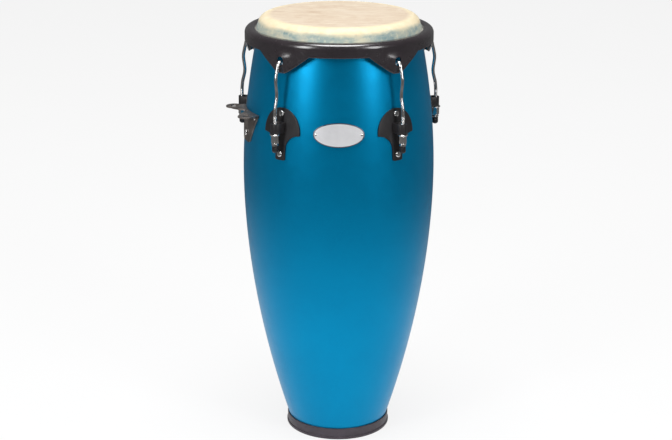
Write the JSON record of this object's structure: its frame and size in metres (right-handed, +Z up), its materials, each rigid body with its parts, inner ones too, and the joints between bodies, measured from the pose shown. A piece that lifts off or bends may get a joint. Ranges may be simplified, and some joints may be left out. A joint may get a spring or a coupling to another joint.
{
  "type": "conga drum",
  "caption": "Barrel-shaped hand drum with a tuned skin head, rolled rim, hooked tension lugs, a slotted-in foot ring and a side stand bracket.",
  "frame": {"origin": "on the floor under the middle of the whole object's box; the drum's own axis stands at x 0.0078 m, y -0.0115 m because the stand bracket and the rear lug reach further out than the other sides", "axes": "+Z up along the drum's axis, from the foot to the head; -Y is the front, with the badge; the stand bracket is on the -X side"},
  "size_m": [0.3914, 0.3712, 0.788],
  "materials": {
    "blue_shell": "satin metallic lacquer",
    "foot_rubber": "matte",
    "skin": "mottled, low sheen",
    "rim_black": "satin",
    "zinc_steel": "plated, dull",
    "black_hardware": "satin powder coat",
    "cap_black": "satin",
    "bracket_steel": "dull grey-brown",
    "badge_plate": "satin, bare",
    "chrome": "polished"
  },
  "bodies": {
    "drum": {"badge": "badge_plate", "badge_pin_1": "chrome", "badge_pin_2": "chrome", "bracket_nut_1": "zinc_steel", "bracket_nut_2": "zinc_steel", "bracket_nut_3": "zinc_steel", "bracket_screw_1": "chrome", "bracket_screw_2": "chrome", "bracket_screw_3": "chrome", "foot_ring": "foot_rubber", "head_skin": "skin", "plate_screw_1a": "chrome", "plate_screw_1b": "chrome", "plate_screw_2a": "chrome", "plate_screw_2b": "chrome", "plate_screw_3a": "chrome", "plate_screw_3b": "chrome", "plate_screw_4a": "chrome", "plate_screw_4b": "chrome", "plate_screw_5a": "chrome", "plate_screw_5b": "chrome", "shell": "blue_shell", "side_plate_1": "black_hardware", "side_plate_2": "black_hardware", "side_plate_3": "black_hardware", "side_plate_4": "black_hardware", "side_plate_5": "black_hardware", "stand_bracket": "bracket_steel", "strap_1": "black_hardware", "strap_2": "black_hardware", "strap_3": "black_hardware", "strap_4": "black_hardware", "strap_5": "black_hardware", "wall_nut_1a": "zinc_steel", "wall_nut_1b": "zinc_steel", "wall_nut_2a": "zinc_steel", "wall_nut_2b": "zinc_steel", "wall_nut_3a": "zinc_steel", "wall_nut_3b": "zinc_steel", "wall_nut_4a": "zinc_steel", "wall_nut_4b": "zinc_steel", "wall_nut_5a": "zinc_steel", "wall_nut_5b": "zinc_steel"},
    "tension_hoop": {"rim": "rim_black", "flesh_hoop": "zinc_steel", "hook_1": "chrome", "hook_2": "chrome", "hook_3": "chrome", "hook_4": "chrome", "hook_5": "chrome"},
    "nut_1": {"tuning_nut_1": "chrome", "nut_cap_1": "cap_black"},
    "nut_2": {"tuning_nut_2": "chrome", "nut_cap_2": "cap_black"},
    "nut_3": {"tuning_nut_3": "chrome", "nut_cap_3": "cap_black"},
    "nut_4": {"tuning_nut_4": "chrome", "nut_cap_4": "cap_black"},
    "nut_5": {"tuning_nut_5": "chrome", "nut_cap_5": "cap_black"}
  },
  "joints": [
    {"name": "rim_draw", "type": "slide", "parent": "drum", "child": "tension_hoop", "axis": [0, 0, 1], "range_m": [-0.003, 0.003], "deforming": ["head_skin"]},
    {"name": "nut_turn_1", "type": "hinge", "parent": "drum", "child": "nut_1", "pos_m": [-0.10267, -0.16355, 0.6], "axis": [0, 0, 1], "range_deg": [-900, 900]},
    {"name": "nut_turn_2", "type": "hinge", "parent": "drum", "child": "nut_2", "pos_m": [0.11834, -0.16355, 0.6], "axis": [0, 0, 1], "range_deg": [-900, 900]},
    {"name": "nut_turn_3", "type": "hinge", "parent": "drum", "child": "nut_3", "pos_m": [0.18663, 0.04664, 0.6], "axis": [0, 0, 1], "range_deg": [-900, 900]},
    {"name": "nut_turn_4", "type": "hinge", "parent": "drum", "child": "nut_4", "pos_m": [0.00783, 0.17655, 0.6], "axis": [0, 0, 1], "range_deg": [-900, 900]},
    {"name": "nut_turn_5", "type": "hinge", "parent": "drum", "child": "nut_5", "pos_m": [-0.17097, 0.04664, 0.6], "axis": [0, 0, 1], "range_deg": [-900, 900]}
  ],
  "couplings": [
    {"joint": "nut_turn_1", "follows": "rim_draw", "rad_per_m": -4947.4},
    {"joint": "nut_turn_2", "follows": "rim_draw", "rad_per_m": -4947.4},
    {"joint": "nut_turn_3", "follows": "rim_draw", "rad_per_m": -4947.4},
    {"joint": "nut_turn_4", "follows": "rim_draw", "rad_per_m": -4947.4},
    {"joint": "nut_turn_5", "follows": "rim_draw", "rad_per_m": -4947.4}
  ]
}
